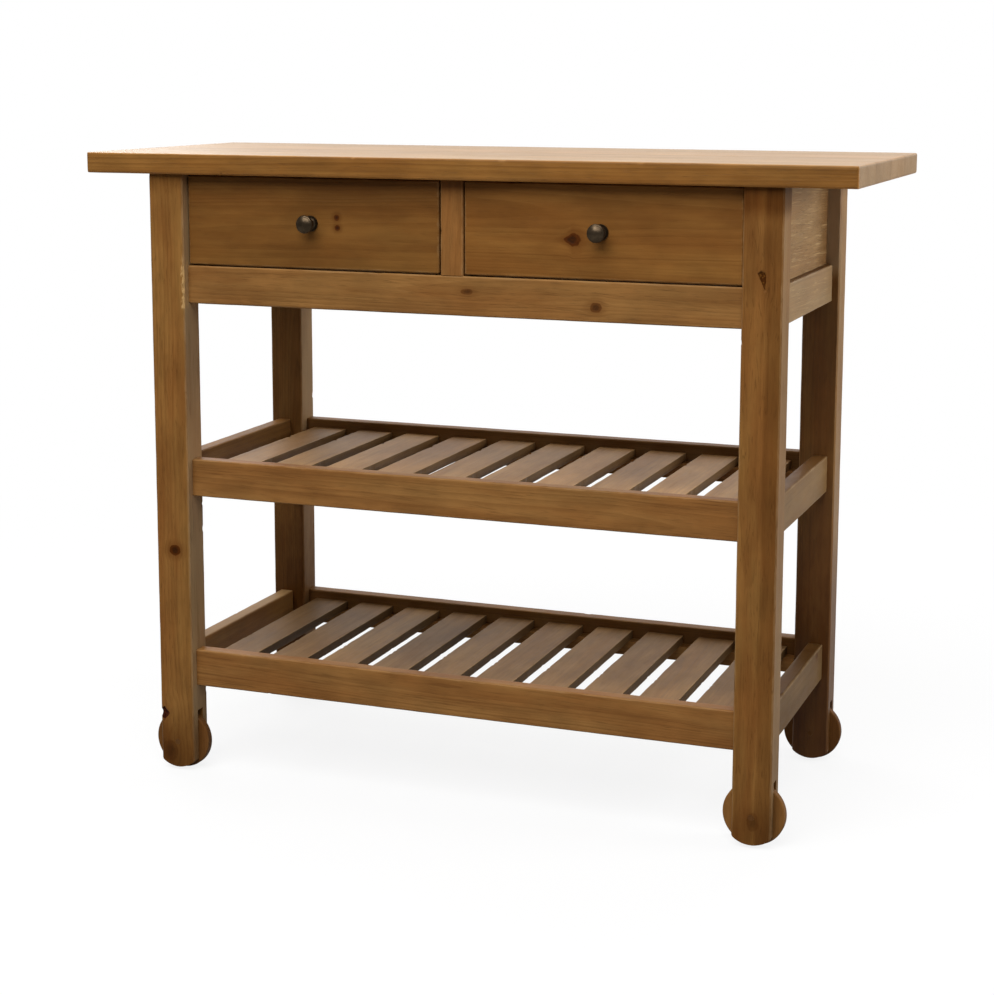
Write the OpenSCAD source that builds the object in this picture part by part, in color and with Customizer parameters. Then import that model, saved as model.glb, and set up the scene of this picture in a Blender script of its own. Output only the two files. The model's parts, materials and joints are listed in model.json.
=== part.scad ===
// Rolling serving table: plank top, two drawers, two slatted shelves and four disc wheels.
// Millimetres. X runs along the table, -Y is the drawer side, Z is up from the floor.

/* [Top] */
// Length of the top
top_l = 1100; // [1000:10:1250]
// Depth of the top
top_d = 440; // [410:5:520]
// Thickness of the top
top_t = 29; // [25:1:34]
// Corner radius of the top seen from above
top_corner = 5; // [3:1:12]
// Rounding along the edges of the top
top_ease = 3; // [2:0.5:6]
// Reach of the top past the legs at each end
end_over = 95; // [70:5:115]
// Reach of the top past the legs at the front
front_over = 10; // [3:1:20]
// Reach of the top past the legs at the back
back_over = 18; // [10:1:40]
// Height of the table from the floor
table_h = 900; // [860:5:950]

/* [Legs] */
// Width of a leg along the table
leg_w = 53; // [50:1:60]
// Depth of a leg from front to back
leg_d = 43; // [40:1:50]
// Cut-off corner along a leg's edges
leg_ease = 2; // [1:0.5:3]
// Width of the wheel slot in a leg
slot_w = 14.4; // [14:0.2:16]
// Room over a wheel in its slot
slot_room = 4; // [3:0.5:8]
// How much smaller in radius the rounded foot is than its wheel
foot_step = 4.5; // [3:0.5:7]

/* [Rails] */
// Height of a rail
rail_h = 54; // [48:1:60]
// Thickness of a rail
rail_t = 22; // [20:1:24]
// Cut-off corner along a rail's edges
rail_ease = 1.5; // [0.5:0.25:2.5]
// Front rails' distance behind the legs' front faces
front_set = 13; // [9:1:15]
// Back rails' distance in from the legs' back faces
back_set = 4; // [2:1:10]
// End rails' distance in from the legs' outer faces
side_set = 11; // [8:1:13]
// Thickness of the panels above the upper rails
panel_t = 12; // [10:1:14]
// Ledge left on a rail in front of its panel
panel_ledge = 9; // [6:0.5:9.5]
// Width of the stile between the drawers
stile_w = 33; // [28:1:40]

/* [Joints in the wood] */
// Thickness of a tenon
tenon_t = 8; // [6:1:10]
// Length of a tenon
tenon_l = 22; // [16:1:24]
// Shoulder above and below a tenon
shoulder = 7; // [5:1:10]
// Length of a panel's tongue
tongue_l = 8; // [5:1:10]
// Clearance round a tenon or a tongue
fit = 0.1; // [0.05:0.05:0.2]

/* [Shelves] */
// Height of the upper shelf's rails, at their top
mid_z = 463; // [430:1:500]
// Height of the lower shelf's rails, at their top
low_z = 181; // [165:1:220]
// Slats on each shelf
slat_n = 10; // [8:1:11]
// Width of a slat
slat_w = 56; // [45:1:60]
// Thickness of a slat
slat_t = 13; // [10:1:16]
// Cut-off corner along a slat's edges
slat_ease = 0.5; // [0.3:0.1:1.5]
// Depth of the slats below the rails' top
slat_sink = 13; // [8:1:16]
// Gap between the legs and the end slats
slat_end = 14; // [6:1:24]
// Side of a square cleat under the slats
cleat = 20; // [14:1:24]

/* [Drawers] */
// Height of the drawer openings
bay_h = 129; // [110:1:145]
// Thickness of a drawer front
front_t = 20; // [18:1:22]
// Gap round a drawer front
front_gap = 2; // [1.5:0.25:4]
// Cut-off corner round a drawer front
front_ease = 1.5; // [0.5:0.25:2.5]
// Length of the stops behind a drawer
stop_l = 22.7; // [12:0.1:50]
// Thickness of the drawer sides and back
wall_t = 12; // [10:1:14]
// Thickness of the drawer bottom
base_t = 6; // [4:1:8]
// Height of the drawer bottom above the sides' lower edge
base_up = 8; // [6:1:12]
// Depth of the groove that holds the drawer bottom
groove = 5; // [4:0.5:6]
// Depth of the rebate that takes a drawer side
rebate = 8; // [6:1:12]
// Play between a drawer side and its guide
guide_play = 1; // [0.5:0.1:1.4]
// Gap under a drawer's sides
run_gap = 0.3; // [0.2:0.1:0.6]
// Gap over a drawer's sides, under the kickers
kick_gap = 1.5; // [1:0.25:3]
// Distance of a drawer back's top below the sides' top
back_drop = 6; // [0:1:20]
// Height of a runner, a guide and a kicker
strip_h = 20; // [16:1:22]
// Width of a runner under a drawer side
runner_in = 14; // [12:1:20]

/* [Knobs] */
// Radius of a knob's head
knob_r = 12.5; // [10:0.5:15]
// Reach of a knob from the drawer front
knob_len = 25; // [20:1:30]
// Radius of a knob's foot plate
plate_r = 11; // [8:0.5:14]
// Thickness of a knob's foot plate
plate_t = 2.2; // [1.5:0.1:3]
// Radius of a knob's neck
neck_r = 5.5; // [4.5:0.5:7]
// Thickness of a knob's head
head_t = 8; // [6:0.5:11]
// Radius of the knob screw
screw_r = 2; // [1.5:0.1:2.4]
// Bite of the knob screw in the knob
screw_bite = 13; // [9:0.5:15]

/* [Wheels] */
// Radius of a wheel
wheel_r = 42.5; // [38:0.5:48]
// Thickness of a wheel
wheel_t = 12; // [10:0.2:12.2]
// Rounding along a wheel's rim
wheel_ease = 2; // [1:0.5:4]
// Radius of an axle
axle_r = 4; // [3:0.5:5]
// Running clearance of a wheel on its axle
axle_play = 0.06; // [0.03:0.01:0.09]
// Length of the plugs that close the axle holes
plug_l = 5; // [3:0.5:6]
// Radius of a washer
washer_r = 9; // [7:0.5:12]
// Thickness of a washer
washer_t = 0.8; // [0.6:0.1:0.9]

/* [Screws under the top] */
// Radius of a top screw
top_screw_r = 2; // [1.5:0.1:2.5]
// Bite of a top screw in the top
bite = 16; // [10:1:20]
// Distance of the screws from a kicker's ends
screw_end = 55; // [35:5:90]

/* [Hidden] */
// Colours
top_colour = [0.80, 0.68, 0.55];
leg_colour = [0.50, 0.34, 0.18];
rail_colour = [0.48, 0.33, 0.18];
drawer_colour = [0.42, 0.26, 0.12];
slat_colour = [0.56, 0.46, 0.37];
inner_colour = [0.66, 0.52, 0.36];
wheel_colour = [0.45, 0.31, 0.18];
plug_colour = [0.20, 0.12, 0.07];
pewter = [0.22, 0.19, 0.17];
steel = [0.62, 0.62, 0.62];

// Overall places
under = table_h - top_t;
knob_over = max(0, knob_len - front_set - front_over);
top_y0 = -(top_d + knob_over) / 2 + knob_over;
y_front = top_y0 + front_over;
y_back = top_y0 + top_d - back_over;
x_out = top_l / 2 - end_over;
x_in = x_out - leg_w;
x_rail = x_out - side_set - rail_t;

// Rail places
bay_z = under - bay_h;
fr_y = y_front + front_set;
fr_in = fr_y + rail_t;
bk_y = y_back - back_set - rail_t;
levels = [bay_z, mid_z, low_z];
tongue_t = panel_t / 2;

// Drawer places, for the drawer on +X
dx0 = stile_w / 2 + front_gap;
dx1 = x_in - front_gap;
dxm = (dx0 + dx1) / 2;
dz0 = bay_z + front_gap;
dz1 = under - front_gap;
knob_z = (dz0 + dz1) / 2;
side_z0 = bay_z + run_gap;
side_z1 = under - strip_h - kick_gap;
base_z = side_z0 + base_up;
back_z1 = side_z1 - back_drop;
front_in = fr_y + front_t;
drawer_end = bk_y - stop_l - run_gap;

// Wheel places
foot_r = wheel_r - foot_step;
axle_l = leg_d - 2 * plug_l;
slot_y = (leg_d - slot_w) / 2;

// Room past the end of a tenon, a tongue or a screw
slack = 1;
eps = 0.01;
arc_n = 8;
$fn = 64;

// Outline of a rectangle with its corners cut at 45 degrees
module cut_rect(w, h, c) {
    polygon([[c, 0], [w - c, 0], [w, c], [w, h - c], [w - c, h], [c, h], [0, h - c], [0, c]]);
}

// Outline of a rectangle with round corners
module round_rect(w, h, r) {
    centres = [[w - r, h - r], [r, h - r], [r, r], [w - r, r]];
    polygon([for (q = [0:3]) for (i = [0:arc_n])
        let (a = 90 * (q + i / arc_n)) centres[q] + r * [cos(a), sin(a)]]);
}

// Turns an outline in X and Y so that it stands in Y and Z and is extruded along X
module along_x(l) {
    rotate([90, 0, 90]) linear_extrude(l) children();
}

// Turns an outline so that it stands in X and Z and is extruded along Y
module along_y(l) {
    translate([0, l, 0]) rotate([90, 0, 0]) linear_extrude(l) children();
}

// Board with all its edges cut back
module board(w, d, h, c) {
    intersection() {
        linear_extrude(h) cut_rect(w, d, c);
        along_y(d) cut_rect(w, h, c);
        along_x(w) cut_rect(d, h, c);
    }
}

// A copy on the left of what is drawn on the right
module side(s) {
    mirror([s < 0 ? 1 : 0, 0, 0]) children();
}

// A leg's own corner: x and y run inwards from its two outer faces
module at_leg(sx, sy) {
    translate([sx * x_out, sy < 0 ? y_front : y_back, 0])
        mirror([sx > 0 ? 1 : 0, 0, 0]) mirror([0, sy > 0 ? 1 : 0, 0]) children();
}

// The wheel's centre in a leg's own corner, with Z turned along the axle
module at_axle(y) {
    translate([leg_w / 2, y, wheel_r]) rotate([-90, 0, 0]) children();
}

module table_top() {
    color(top_colour) difference() {
        translate([-top_l / 2, top_y0, under]) intersection() {
            linear_extrude(top_t) round_rect(top_l, top_d, top_corner);
            along_y(top_d) round_rect(top_l, top_t, top_ease);
            along_x(top_l) round_rect(top_d, top_t, top_ease);
        }
        each_top_screw() translate([0, 0, under - 1])
            cylinder(r = top_screw_r + fit, h = 1 + bite + slack);
    }
}

// Mortises for the rails and grooves for the panels, in a leg's own corner
module leg_cuts(set) {
    for (z = levels) {
        z0 = z - rail_h + shoulder - fit;
        h = rail_h - 2 * shoulder + 2 * fit;
        translate([leg_w - tenon_l - slack, set + (rail_t - tenon_t) / 2 - fit, z0])
            cube([tenon_l + slack + 1, tenon_t + 2 * fit, h]);
        translate([side_set + (rail_t - tenon_t) / 2 - fit, leg_d - tenon_l - slack, z0])
            cube([tenon_t + 2 * fit, tenon_l + slack + 1, h]);
    }
    groove_y = leg_d - tongue_l - slack;
    translate([side_set + panel_ledge + (panel_t - tongue_t) / 2 - fit, groove_y, bay_z - fit])
        cube([tongue_t + 2 * fit, tongue_l + slack + 1, bay_h + 1]);
    if (set == back_set)
        translate([leg_w - tongue_l - slack, set + panel_ledge + (panel_t - tongue_t) / 2 - fit, bay_z - fit])
            cube([tongue_l + slack + 1, tongue_t + 2 * fit, bay_h + 1]);
}

// Leg with a rounded foot, a slot for the wheel and a bore for its axle
module leg(sx, sy) {
    set = sy < 0 ? front_set : back_set;
    color(leg_colour) at_leg(sx, sy) difference() {
        intersection() {
            linear_extrude(under) cut_rect(leg_w, leg_d, leg_ease);
            union() {
                translate([0, 0, wheel_r]) cube([leg_w, leg_d, under]);
                at_axle(0) cylinder(r = foot_r, h = leg_d);
            }
        }
        translate([-1, slot_y, -1]) cube([leg_w + 2, slot_w, 2 * wheel_r + slot_room + 1]);
        at_axle(-1) cylinder(r = axle_r + fit / 2, h = leg_d + 2);
        leg_cuts(set);
    }
}

// Rail along X between two legs, with a tenon at each end; z is its top
module rail_x(y, z) {
    tenon_y = y + (rail_t - tenon_t) / 2;
    color(rail_colour) union() {
        translate([-x_in, y, z - rail_h]) along_x(2 * x_in) cut_rect(rail_t, rail_h, rail_ease);
        translate([-x_in - tenon_l, tenon_y, z - rail_h + shoulder])
            cube([2 * (x_in + tenon_l), tenon_t, rail_h - 2 * shoulder]);
    }
}

// Rail along Y between two legs, on the side s; z is its top
module rail_y(s, z) {
    y0 = y_front + leg_d;
    y1 = y_back - leg_d;
    color(rail_colour) side(s) union() {
        translate([x_rail, y0, z - rail_h]) along_y(y1 - y0) cut_rect(rail_t, rail_h, rail_ease);
        translate([x_rail + (rail_t - tenon_t) / 2, y0 - tenon_l, z - rail_h + shoulder])
            cube([tenon_t, y1 - y0 + 2 * tenon_l, rail_h - 2 * shoulder]);
    }
}

// Front rail, with a mortise for the stile's tenon
module front_rail() {
    color(rail_colour) difference() {
        rail_x(fr_y, bay_z);
        stile_tenon(fit, slack);
    }
}

// Tenon on the stile's foot, or the mortise that takes it when it is grown and deeper
module stile_tenon(grow, deeper) {
    w = stile_w - 2 * shoulder + 2 * grow;
    t = tenon_t + 2 * grow;
    l = rail_h / 4 + deeper;
    translate([-w / 2, fr_y + (rail_t - t) / 2, bay_z - l]) cube([w, t, l + 1]);
}

module centre_stile() {
    color(rail_colour) union() {
        translate([-stile_w / 2, fr_y, bay_z]) linear_extrude(bay_h) cut_rect(stile_w, rail_t, rail_ease);
        stile_tenon(0, 0);
    }
}

// Panel above a back rail, with a tongue in each leg
module back_panel() {
    y = y_back - back_set - panel_ledge - panel_t;
    tongue_y = y + (panel_t - tongue_t) / 2;
    color(rail_colour) union() {
        translate([-x_in, y, bay_z]) cube([2 * x_in, panel_t, bay_h]);
        translate([-x_in - tongue_l, tongue_y, bay_z]) cube([2 * (x_in + tongue_l), tongue_t, bay_h]);
    }
}

// Panel above an end rail, with a tongue in each leg
module end_panel(s) {
    x = x_out - side_set - panel_ledge - panel_t;
    y0 = y_front + leg_d;
    l = y_back - leg_d - y0;
    color(rail_colour) side(s) union() {
        translate([x, y0, bay_z]) cube([panel_t, l, bay_h]);
        translate([x + (panel_t - tongue_t) / 2, y0 - tongue_l, bay_z])
            cube([tongue_t, l + 2 * tongue_l, bay_h]);
    }
}

// Cuts that fit a strip round the legs' inner corners
module round_legs() {
    difference() {
        children();
        for (y = [y_front, y_back - leg_d])
            translate([x_in - fit, y - fit, 0]) cube([leg_w, leg_d + 2 * fit, table_h]);
    }
}

// Runner with its guide, under the outer side of a drawer
module side_runner(s) {
    x = dx1 - runner_in;
    l = bk_y - fr_in;
    color(inner_colour) side(s) round_legs() {
        translate([x, fr_in, bay_z - strip_h]) cube([x_rail - x, l, strip_h]);
        translate([dx1 + guide_play, fr_in, bay_z - eps])
            cube([x_rail - dx1 - guide_play, l, strip_h + eps]);
    }
}

// Kicker over the outer side of a drawer, which stops it tipping
module side_kicker(s) {
    x = dx1 - runner_in;
    color(inner_colour) difference() {
        side(s) round_legs() translate([x, fr_in, under - strip_h])
            cube([x_rail - x, bk_y - fr_in, strip_h]);
        each_top_screw() screw_way();
    }
}

// Runner and guide shared by the two drawers
module centre_runner() {
    w = 2 * (dx0 + runner_in);
    g = 2 * (dx0 - guide_play);
    color(inner_colour) translate([0, fr_in, bay_z]) union() {
        translate([-w / 2, 0, -strip_h]) cube([w, bk_y - fr_in, strip_h]);
        translate([-g / 2, 0, -eps]) cube([g, bk_y - fr_in, strip_h + eps]);
    }
}

module centre_kicker() {
    w = 2 * (dx0 + runner_in);
    color(inner_colour) difference() {
        translate([-w / 2, fr_in, under - strip_h]) cube([w, bk_y - fr_in, strip_h]);
        each_top_screw() screw_way();
    }
}

// Blocks on the runners that stop a closed drawer
module drawer_stops() {
    y = drawer_end + run_gap;
    color(inner_colour) for (s = [-1, 1], x = [dx0, dx1 - wall_t])
        side(s) translate([x, y, bay_z]) cube([wall_t, bk_y - y, strip_h]);
}

// Each place where a screw goes up through a kicker
module each_top_screw() {
    xs = [0, (dx1 - runner_in + x_rail) / 2];
    for (s = [-1, 1], x = xs, y = [fr_in + screw_end, bk_y - screw_end])
        if (x > 0 || s > 0)
            translate([s * x, y, 0]) children();
}

// Way for a screw through a kicker, wider at its foot for the head
module screw_way() {
    translate([0, 0, under - strip_h - 1]) {
        cylinder(r = top_screw_r + fit, h = strip_h + 2);
        cylinder(r = 2 * top_screw_r + 1, h = strip_h / 3 + 1);
    }
}

module top_screws() {
    color(steel) each_top_screw() translate([0, 0, under - strip_h * 2 / 3]) {
        cylinder(r = top_screw_r, h = strip_h * 2 / 3 + bite);
        translate([0, 0, -top_screw_r]) cylinder(r = 2 * top_screw_r, h = top_screw_r + eps);
    }
}

// Slats that run from front to back below the top of the rails at z
module slats(z) {
    room = 2 * (x_in - slat_end) - slat_n * slat_w;
    pitch = slat_w + room / (slat_n - 1);
    l = bk_y - fr_in - 2 * fit;
    color(slat_colour) for (i = [0:slat_n - 1])
        translate([-x_in + slat_end + i * pitch, fr_in + fit, z - slat_sink - slat_t])
            along_y(l) cut_rect(slat_w, slat_t, slat_ease);
}

// Cleats along the front and back rails that carry the slats
module cleats(z) {
    color(rail_colour) for (y = [fr_in, bk_y - cleat])
        translate([-x_in + fit, y, z - slat_sink - slat_t - cleat])
            cube([2 * (x_in - fit), cleat, cleat]);
}

module axle(sx, sy) {
    color(steel) at_leg(sx, sy) at_axle(plug_l) cylinder(r = axle_r, h = axle_l);
}

// Plugs that close the axle holes in all four legs
module axle_plugs() {
    color(plug_colour) for (sx = [-1, 1], sy = [-1, 1], y = [0, leg_d - plug_l])
        at_leg(sx, sy) at_axle(y) cylinder(r = axle_r, h = plug_l);
}

// A washer on each side of every wheel, against the leg
module axle_washers() {
    color(steel) for (sx = [-1, 1], sy = [-1, 1], y = [slot_y, slot_y + slot_w - washer_t])
        at_leg(sx, sy) at_axle(y) difference() {
            cylinder(r = washer_r, h = washer_t);
            translate([0, 0, -1]) cylinder(r = axle_r + fit, h = washer_t + 2);
        }
}

// Disc wheel with a rounded rim and a plain bore
module wheel(sx, sy) {
    r = wheel_r - wheel_ease;
    e = wheel_ease;
    rim = [for (i = [0:arc_n]) let (a = 90 * i / arc_n) [r + e * sin(a), wheel_t / 2 - e + e * cos(a)]];
    low_rim = [for (i = [arc_n:-1:0]) [rim[i].x, -rim[i].y]];
    bore = axle_r + axle_play;
    color(wheel_colour) at_leg(sx, sy) at_axle(leg_d / 2)
        rotate_extrude($fn = 96) polygon(concat([[bore, wheel_t / 2]], rim, low_rim, [[bore, -wheel_t / 2]]));
}

// Drawer bottom, or the groove that takes it when it is grown
module drawer_base(grow) {
    x = dx0 + wall_t - groove;
    translate([x - grow, front_in - groove - grow, base_z - grow])
        cube([dx1 - wall_t + groove - x + 2 * grow, drawer_end - front_in + groove + 2 * grow,
            base_t + 2 * grow]);
}

// Drawer front with rebates for the sides, a groove for the bottom and a hole for the knob
module drawer_front(s) {
    color(drawer_colour) side(s) difference() {
        translate([dx0, fr_y, dz0]) board(dx1 - dx0, front_t, dz1 - dz0, front_ease);
        for (x = [dx0 - 1, dx1 - wall_t - fit])
            translate([x, front_in - rebate - fit, dz0 - 1])
                cube([wall_t + fit + 1, rebate + fit + 1, side_z1 + fit - dz0 + 1]);
        drawer_base(fit);
        translate([dxm, fr_y - 1, knob_z]) rotate([-90, 0, 0]) cylinder(r = screw_r + fit, h = front_t + 2);
    }
}

// Drawer side, grooved for the bottom
module drawer_side(s, x) {
    y0 = front_in - rebate;
    color(inner_colour) side(s) difference() {
        translate([x, y0, side_z0]) along_y(drawer_end - y0)
            cut_rect(wall_t, side_z1 - side_z0, rail_ease / 2);
        drawer_base(fit);
    }
}

// Drawer back, which stands on the bottom
module drawer_back(s) {
    color(inner_colour) side(s)
        translate([dx0 + wall_t, drawer_end - wall_t, base_z + base_t])
            cube([dx1 - dx0 - 2 * wall_t, wall_t, back_z1 - base_z - base_t]);
}

module drawer_bottom(s) {
    color(inner_colour) side(s) drawer_base(0);
}

// Round knob with a foot plate, a waisted neck, a rounded rim and a low dome, turned about its screw
module drawer_knob(s) {
    head_y = knob_len - head_t;
    lip = head_t / 3;
    flare = (plate_r - neck_r) / 2;
    waist = [for (i = [0:arc_n]) let (a = 180 * i / arc_n)
        [neck_r + flare * pow(1 - sin(a), 2), plate_t + (head_y - plate_t) * i / arc_n]];
    rim = [for (i = [0:arc_n]) let (a = 180 * i / arc_n - 90)
        [knob_r - lip + lip * cos(a), head_y + lip + lip * sin(a)]];
    dome = [for (i = [1:arc_n]) let (q = 1 - i / arc_n)
        [(knob_r - lip) * q, knob_len - (head_t - 2 * lip) * q * q]];
    bore = screw_r + fit / 2;
    turned = concat([[0, 0], [plate_r, 0], [plate_r, plate_t]], waist, rim, dome);
    color(pewter) side(s) translate([dxm, fr_y, knob_z]) rotate([90, 0, 0]) difference() {
        rotate_extrude() polygon(turned);
        translate([0, 0, -1]) cylinder(r = bore, h = 1 + screw_bite + slack);
    }
}

// Screw through a drawer front into its knob, with a pan head inside the drawer
module drawer_screw(s) {
    color(steel) side(s) translate([dxm, front_in, knob_z]) rotate([90, 0, 0]) {
        cylinder(r = screw_r, h = front_t + screw_bite);
        translate([0, 0, -screw_r]) cylinder(r = 2 * screw_r, h = screw_r);
    }
}

table_top();
leg(-1, -1);  // leg_front_left
leg(1, -1);  // leg_front_right
leg(-1, 1);  // leg_back_left
leg(1, 1);  // leg_back_right
front_rail();
rail_x(bk_y, bay_z);  // back_rail
rail_y(-1, bay_z);  // left_rail
rail_y(1, bay_z);  // right_rail
centre_stile();
back_panel();
end_panel(-1);  // left_panel
end_panel(1);  // right_panel
side_runner(-1);  // left_runner
side_runner(1);  // right_runner
centre_runner();
side_kicker(-1);  // left_kicker
side_kicker(1);  // right_kicker
centre_kicker();
drawer_stops();
top_screws();
rail_x(fr_y, mid_z);  // mid_front_rail
rail_x(bk_y, mid_z);  // mid_back_rail
rail_y(-1, mid_z);  // mid_left_rail
rail_y(1, mid_z);  // mid_right_rail
slats(mid_z);  // mid_slats
cleats(mid_z);  // mid_cleats
rail_x(fr_y, low_z);  // low_front_rail
rail_x(bk_y, low_z);  // low_back_rail
rail_y(-1, low_z);  // low_left_rail
rail_y(1, low_z);  // low_right_rail
slats(low_z);  // low_slats
cleats(low_z);  // low_cleats
axle(-1, -1);  // axle_front_left
axle(1, -1);  // axle_front_right
axle(-1, 1);  // axle_back_left
axle(1, 1);  // axle_back_right
axle_plugs();
axle_washers();
wheel(-1, -1);  // wheel_front_left
wheel(1, -1);  // wheel_front_right
wheel(-1, 1);  // wheel_back_left
wheel(1, 1);  // wheel_back_right
drawer_front(-1);  // drawer_left_front
drawer_side(-1, dx1 - wall_t);  // drawer_left_outer_side
drawer_side(-1, dx0);  // drawer_left_inner_side
drawer_back(-1);  // drawer_left_back
drawer_bottom(-1);  // drawer_left_bottom
drawer_knob(-1);  // drawer_left_knob
drawer_screw(-1);  // drawer_left_screw
drawer_front(1);  // drawer_right_front
drawer_side(1, dx1 - wall_t);  // drawer_right_outer_side
drawer_side(1, dx0);  // drawer_right_inner_side
drawer_back(1);  // drawer_right_back
drawer_bottom(1);  // drawer_right_bottom
drawer_knob(1);  // drawer_right_knob
drawer_screw(1);  // drawer_right_screw
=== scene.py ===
"""Looks of the rolling serving table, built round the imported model.

X runs along the table, -Y is the drawer side, Z is up from the floor. Blender's lengths are metres. The
lengths and places in the looks, forms and marks of boards are in mm, and so are those in a material.
"""
import json
import math
import random
from collections import namedtuple
from dataclasses import dataclass

import bmesh
import bpy
from mathutils import Matrix, Vector, noise

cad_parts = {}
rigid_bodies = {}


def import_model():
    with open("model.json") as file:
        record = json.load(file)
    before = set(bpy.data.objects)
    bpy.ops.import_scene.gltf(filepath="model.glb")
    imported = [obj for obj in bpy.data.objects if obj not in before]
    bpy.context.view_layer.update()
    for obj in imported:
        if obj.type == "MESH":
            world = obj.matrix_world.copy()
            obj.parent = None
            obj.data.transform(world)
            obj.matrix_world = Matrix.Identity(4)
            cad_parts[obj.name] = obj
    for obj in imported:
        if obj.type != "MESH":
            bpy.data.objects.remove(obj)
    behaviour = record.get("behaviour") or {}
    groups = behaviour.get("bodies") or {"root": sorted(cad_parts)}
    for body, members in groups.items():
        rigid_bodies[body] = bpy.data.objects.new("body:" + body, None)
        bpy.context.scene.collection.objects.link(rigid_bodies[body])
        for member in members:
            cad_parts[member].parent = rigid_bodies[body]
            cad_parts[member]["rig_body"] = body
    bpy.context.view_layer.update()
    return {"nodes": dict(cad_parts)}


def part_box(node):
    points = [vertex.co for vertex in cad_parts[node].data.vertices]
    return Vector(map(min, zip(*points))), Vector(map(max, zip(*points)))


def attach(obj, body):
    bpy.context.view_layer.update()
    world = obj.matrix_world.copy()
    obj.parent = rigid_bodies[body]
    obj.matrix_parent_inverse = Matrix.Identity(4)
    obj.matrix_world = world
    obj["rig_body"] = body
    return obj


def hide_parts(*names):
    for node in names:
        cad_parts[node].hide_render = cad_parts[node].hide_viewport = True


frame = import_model()
NODES = frame["nodes"]
MM = 0.001
X, Y, Z = range(3)
# The axis of the grain, then the two across it
AXES = {"x": (X, Y, Z), "y": (Y, X, Z), "z": (Z, X, Y)}


# Colours and node trees

def srgb(r, g, b):
    """Colour written as 0 to 255, as a linear colour."""
    shares = (c / 255 for c in (r, g, b))
    return tuple(c / 12.92 if c <= 0.04 else ((c + 0.055) / 1.055) ** 2.4 for c in shares) + (1,)


def dimmed(colour, factor):
    """A colour times a number, as opaque as before."""
    return tuple(c * factor for c in colour[:3]) + (1,)


def grey(level):
    return (level, level, level, 1)


def seeded(name):
    """Random numbers that are the same for a name in each run."""
    return random.Random("table " + name)


class Tree:
    """Short calls that fill a material's or the world's node tree."""

    def __init__(self, owner):
        owner.use_nodes = True
        self.tree = owner.node_tree
        self.tree.nodes.clear()

    def put(self, kind, ins=None, out=0, **props):
        """A new shader node, given what goes into it, its settings and which output is wanted."""
        node = self.tree.nodes.new("ShaderNode" + kind)
        for key, value in props.items():
            setattr(node, key, value)
        for key, value in (ins or {}).items():
            if isinstance(value, bpy.types.NodeSocket):
                self.tree.links.new(value, node.inputs[key])
            else:
                node.inputs[key].default_value = value
        return node.outputs[out] if node.outputs else node

    def math(self, op, a, b=0.0):
        return self.put("Math", {0: a, 1: b}, operation=op)

    def add(self, *values):
        total = values[0]
        for value in values[1:]:
            total = self.math("ADD", total, value)
        return total

    def mul(self, *values):
        product = values[0]
        for value in values[1:]:
            product = self.math("MULTIPLY", product, value)
        return product

    def sub(self, a, b):
        return self.math("SUBTRACT", a, b)

    def divide(self, a, b):
        return self.math("DIVIDE", a, b)

    def size(self, value):
        return self.math("ABSOLUTE", value)

    def highest(self, first, *others):
        for value in others:
            first = self.math("MAXIMUM", first, value)
        return first

    def lowest(self, first, *others):
        for value in others:
            first = self.math("MINIMUM", first, value)
        return first

    def length(self, a, b):
        """The long side over two short ones."""
        return self.math("SQRT", self.add(self.mul(a, a), self.mul(b, b)))

    def swing(self, value, width):
        """Noise from 0 to 1, as a swing of half the width to both sides of 0."""
        return self.mul(self.sub(value, 0.5), width)

    def vec(self, x, y, z):
        return self.put("CombineXYZ", {0: x, 1: y, 2: z})

    def parts(self, vector):
        node = self.put("SeparateXYZ", {0: vector}).node
        return node.outputs[0], node.outputs[1], node.outputs[2]

    def scaled(self, vector, factors):
        return self.put("VectorMath", {0: vector, 1: factors}, operation="MULTIPLY")

    def shifted(self, vector, by):
        return self.put("VectorMath", {0: vector, 1: by}, operation="ADD")

    def noise(self, vector, scale=1.0, detail=2.0, rough=0.5, colour=False):
        return self.put("TexNoise", {"Vector": vector, "Scale": scale, "Detail": detail, "Roughness": rough},
                        out=1 if colour else 0)

    def white(self, number, colour=False):
        return self.put("TexWhiteNoise", {"W": number}, out=1 if colour else 0, noise_dimensions="1D")

    def smooth(self, value, start, end, low=0.0, high=1.0):
        """Low up to the start and high from the end on, with a soft step between."""
        return self.put("MapRange", {0: value, 1: start, 2: end, 3: low, 4: high},
                        interpolation_type="SMOOTHSTEP")

    def mix(self, share, a, b, blend="MIX"):
        return self.put("Mix", {0: share, 6: a, 7: b}, out=2, data_type="RGBA", blend_type=blend)

    def tinted(self, colour, tint):
        """A colour times a colour."""
        return self.mix(1.0, colour, tint, "MULTIPLY")

    def shade(self, colour, factor):
        """A colour times a number."""
        return self.tinted(colour, self.put("CombineColor", {0: factor, 1: factor, 2: factor}))

    def directly_seen(self):
        """1 for rays from the camera, off a gloss or through glass, and 1 for rays off a gloss alone."""
        rays = self.put("LightPath").node.outputs
        glossy = rays["Is Glossy Ray"]
        return self.highest(rays["Is Camera Ray"], glossy, rays["Is Transmission Ray"]), glossy


# Marks on boards, painted light and shade on them, and the tones of pine

# A knot, with the axis across the grain on which its height lies, its length for that height, and how fast
# it narrows to one end
Knot = namedtuple("Knot", "along across radius dark axis stretch tail", defaults=(None, 1.25, 0))
# A hollow in a board's front, such as a resin pocket: its ends along the grain, its middle at the upper end,
# how far it leans by the lower end, half its width, the share of its length at which it is widest, its
# depth and its colours
Hollow = namedtuple("Hollow", "top bottom across lean width belly depth low high")
# A face given painted light, a pale wash for sheen and side light, by a share, more than once if that is
# above 1, or painted shade if the share is below 0. heights are where it starts and is full, if that isn't
# the whole face.
Face = namedtuple("Face", "axis side share heights", defaults=(None,))
# A darkening along an axis, from where it starts to where it is full. Under the top, on the lower back legs
# and at the back of the right panel it is painted shade; at the front feet it is darker towards the floor.
Grime = namedtuple("Grime", "axis start end share")
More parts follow.
